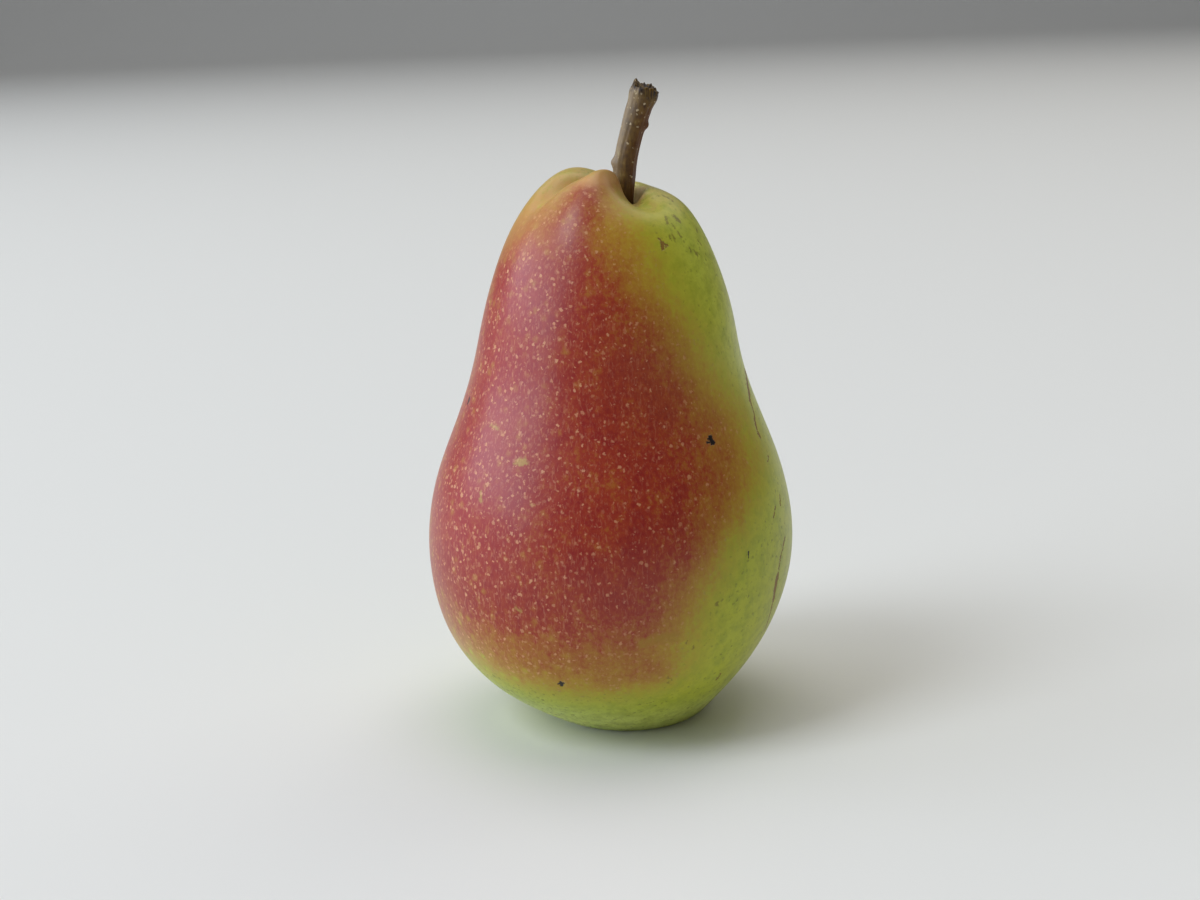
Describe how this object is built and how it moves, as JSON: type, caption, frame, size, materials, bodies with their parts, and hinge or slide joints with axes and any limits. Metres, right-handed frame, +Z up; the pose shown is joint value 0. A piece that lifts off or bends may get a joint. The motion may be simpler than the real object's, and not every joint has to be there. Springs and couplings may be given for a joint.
{
  "type": "pear",
  "caption": "Ripe blushed pear standing upright on the flat spot round its eye, with a bent woody stem in a folded crown.",
  "frame": {"origin": "under the middle of the fruit, at the height of the surface that it stands on", "axes": "+Z up through the fruit, -Y towards the side with the open fold beside the stem and the red blush's edge, +X towards the green side that the stem leans to"},
  "size_m": [0.0682, 0.0682, 0.1182],
  "materials": {
    "skin": "satin waxy skin, red blush over yellow green, pale dots",
    "stem_wood": "rough olive brown bark with pale dots",
    "dried_sepals": "dry, matt, dark brown"
  },
  "bodies": {
    "root": {"pear_body": "skin", "stem": "stem_wood", "calyx": "dried_sepals"}
  },
  "joints": []
}
